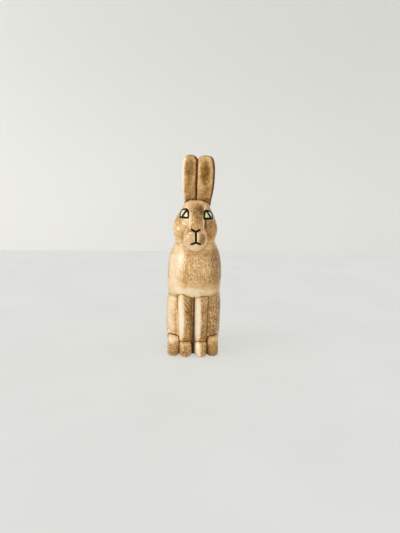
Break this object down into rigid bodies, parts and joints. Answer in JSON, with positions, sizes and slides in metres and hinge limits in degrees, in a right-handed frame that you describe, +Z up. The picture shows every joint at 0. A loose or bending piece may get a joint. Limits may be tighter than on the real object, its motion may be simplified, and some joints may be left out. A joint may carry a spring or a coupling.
{
  "type": "rabbit figurine",
  "caption": "Glazed stoneware rabbit sitting upright with its ears pressed together, speckled cream and brown, with black lined eyes and mouth.",
  "frame": {"origin": "on the flat underside, below the foot of the figure's leaning axis", "axes": "+Z up, -Y the way the rabbit faces, +X to the rabbit's own left"},
  "size_m": [0.0582, 0.0852, 0.2039],
  "materials": {
    "speckled_cream_glaze": "gloss",
    "unglazed_stoneware": "matte",
    "pale_eye_glaze": "gloss",
    "black_line_glaze": "gloss"
  },
  "bodies": {
    "root": {"base_slab": "unglazed_stoneware", "torso_shell": "speckled_cream_glaze", "head_shell": "speckled_cream_glaze", "muzzle": "speckled_cream_glaze", "nose_bridge": "speckled_cream_glaze", "tail": "speckled_cream_glaze", "left_cheek": "speckled_cream_glaze", "left_ear": "speckled_cream_glaze", "left_foreleg": "speckled_cream_glaze", "left_forepaw": "speckled_cream_glaze", "left_haunch": "speckled_cream_glaze", "left_hind_foot": "speckled_cream_glaze", "left_eye_white": "pale_eye_glaze", "left_eye_outline": "black_line_glaze", "left_pupil": "black_line_glaze", "right_cheek": "speckled_cream_glaze", "right_ear": "speckled_cream_glaze", "right_foreleg": "speckled_cream_glaze", "right_forepaw": "speckled_cream_glaze", "right_haunch": "speckled_cream_glaze", "right_hind_foot": "speckled_cream_glaze", "right_eye_white": "pale_eye_glaze", "right_eye_outline": "black_line_glaze", "right_pupil": "black_line_glaze", "nose_line": "black_line_glaze", "mouth_line": "black_line_glaze"}
  },
  "joints": []
}
